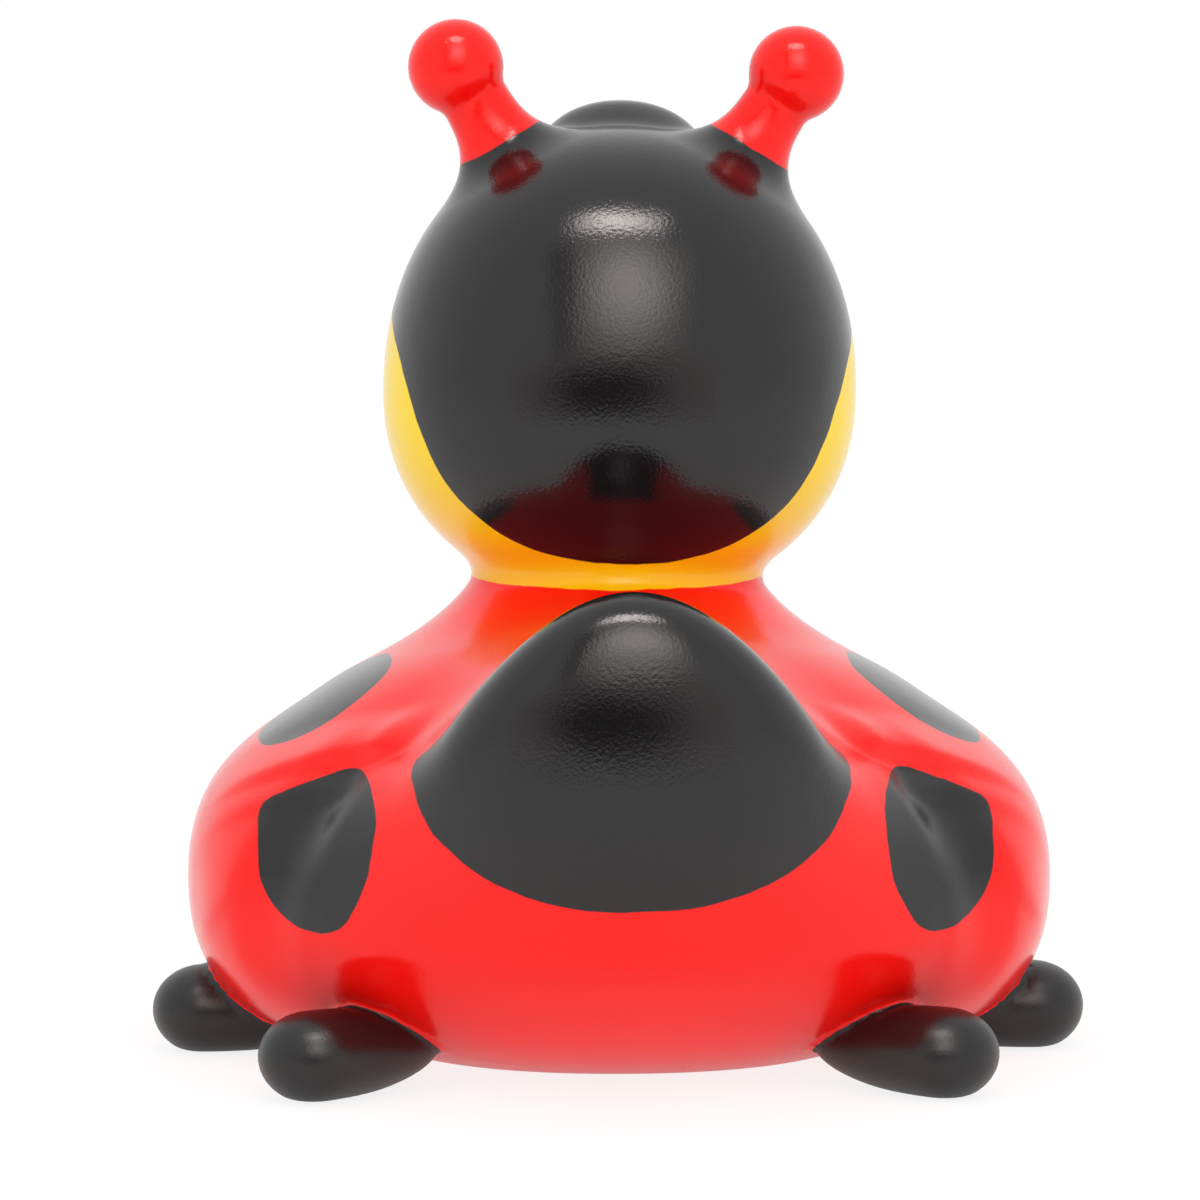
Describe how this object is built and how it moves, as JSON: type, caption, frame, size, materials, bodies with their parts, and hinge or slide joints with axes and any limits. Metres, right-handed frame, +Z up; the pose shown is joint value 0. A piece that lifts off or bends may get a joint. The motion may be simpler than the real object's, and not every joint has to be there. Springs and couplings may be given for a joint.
{
  "type": "rubber duck",
  "caption": "Hollow painted rubber duck dressed as a ladybird, with a hooded head, ball antennae, folded wings, a raised tail and small black feet; it rests on its flat base.",
  "frame": {"origin": "middle of the footprint, on the surface that the duck stands on", "axes": "+Z up, the face looks along -Y, the tail points along +Y, and the duck's left side is +X"},
  "size_m": [0.0806, 0.0841, 0.0883],
  "materials": {
    "painted_rubber": "gloss"
  },
  "bodies": {
    "root": {"duck": "painted_rubber"}
  },
  "joints": []
}
